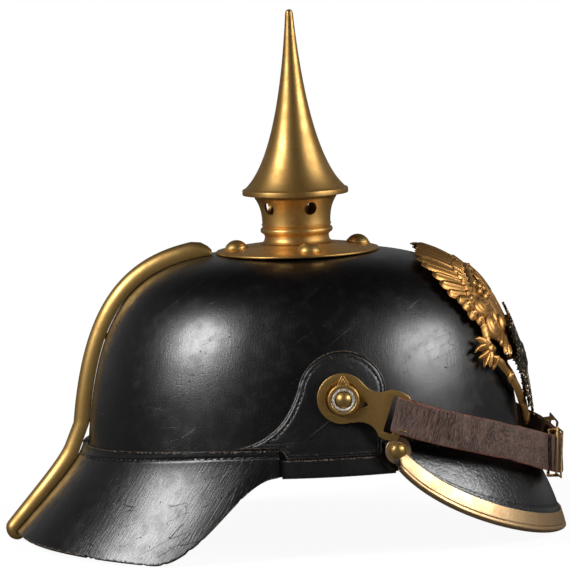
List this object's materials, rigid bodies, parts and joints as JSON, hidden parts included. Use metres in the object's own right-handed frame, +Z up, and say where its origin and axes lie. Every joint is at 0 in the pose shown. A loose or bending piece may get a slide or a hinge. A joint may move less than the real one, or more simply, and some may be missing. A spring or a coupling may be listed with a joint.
{
  "type": "spiked leather helmet",
  "caption": "Spiked parade helmet: black leather dome with front and rear visors, brass spike on a vented neck, rear spine, eagle front plate and a leather chinstrap over the visor.",
  "frame": {"origin": "centre of the head opening, on the spike's axis, in the plane of the rim at the wearer's sides", "axes": "+X to the front, +Y to the wearer's left, +Z up along the spike"},
  "size_m": [0.2783, 0.1858, 0.2588],
  "materials": {
    "black_leather": "lacquered black leather, semi-gloss, finely grained and cracked with brown worn edges",
    "strap_leather": "dark brown strap leather, dry and fibrous, reddish at its edges",
    "liner_leather": "tan liner leather, smooth and matt",
    "lace": "twisted linen lace",
    "brass": "aged brass, satin, brown in the hollows",
    "gilt": "stamped brass, bright matt gilding",
    "white_metal": "silvery white metal, satin"
  },
  "bodies": {
    "helmet": {"skull_shell": "black_leather", "front_visor": "black_leather", "rear_visor": "black_leather", "side_patch_right": "black_leather", "side_patch_left": "black_leather", "rim_binding_right": "black_leather", "rim_binding_left": "black_leather", "front_visor_trim": "brass", "trim_rivets": "brass", "rear_spine": "brass", "spine_bolt": "brass", "spike_base": "brass", "spike_neck": "brass", "spike_socket": "brass", "base_studs": "brass", "base_stud_nuts": "brass", "crown_plate": "liner_leather", "eagle_plate": "gilt", "eagle_star": "white_metal", "plate_posts": "brass", "plate_nuts": "brass", "side_post_right": "brass", "side_post_left": "brass", "post_ring_right": "white_metal", "post_ring_left": "white_metal", "post_screw_right": "brass", "post_screw_left": "brass", "post_nut_right": "brass", "post_nut_left": "brass", "sweatband": "liner_leather", "liner_tongues": "liner_leather", "liner_lace": "lace"},
    "spike_lift": {"spike_washer": "strap_leather"},
    "spike": {"spike": "brass", "spike_stud": "brass"},
    "chinstrap": {"strap_fitting_right": "brass", "strap_fitting_left": "brass", "chin_strap_right": "strap_leather", "chin_strap_left": "strap_leather", "strap_staple_right": "brass", "strap_staple_left": "brass"},
    "slider_right": {"slider_right": "brass"},
    "slider_left": {"slider_left": "brass"}
  },
  "joints": [
    {"name": "spike_rise", "type": "slide", "parent": "helmet", "child": "spike_lift", "axis": [0, 0, 1], "range_m": [0, 0.0076]},
    {"name": "spike_unscrew", "type": "hinge", "parent": "spike_lift", "child": "spike", "pos_m": [0, 0, 0.13], "axis": [0, 0, 1], "range_deg": [0, 1800]},
    {"name": "chinstrap_swing", "type": "hinge", "parent": "helmet", "child": "chinstrap", "pos_m": [0.0189, 0, 0.036], "axis": [0, -1, 0], "range_deg": [0, 105]},
    {"name": "slider_right_slide", "type": "hinge", "parent": "chinstrap", "child": "slider_right", "pos_m": [0.05892, 0, 0.01893], "axis": [0.3923, 0, 0.9198], "range_deg": [-4, 11]},
    {"name": "slider_left_slide", "type": "hinge", "parent": "chinstrap", "child": "slider_left", "pos_m": [0.05892, 0, 0.01893], "axis": [0.3923, 0, 0.9198], "range_deg": [-11, 4]}
  ],
  "couplings": [
    {"joint": "spike_rise", "follows": "spike_unscrew", "m_per_rad": 0.00023873}
  ]
}
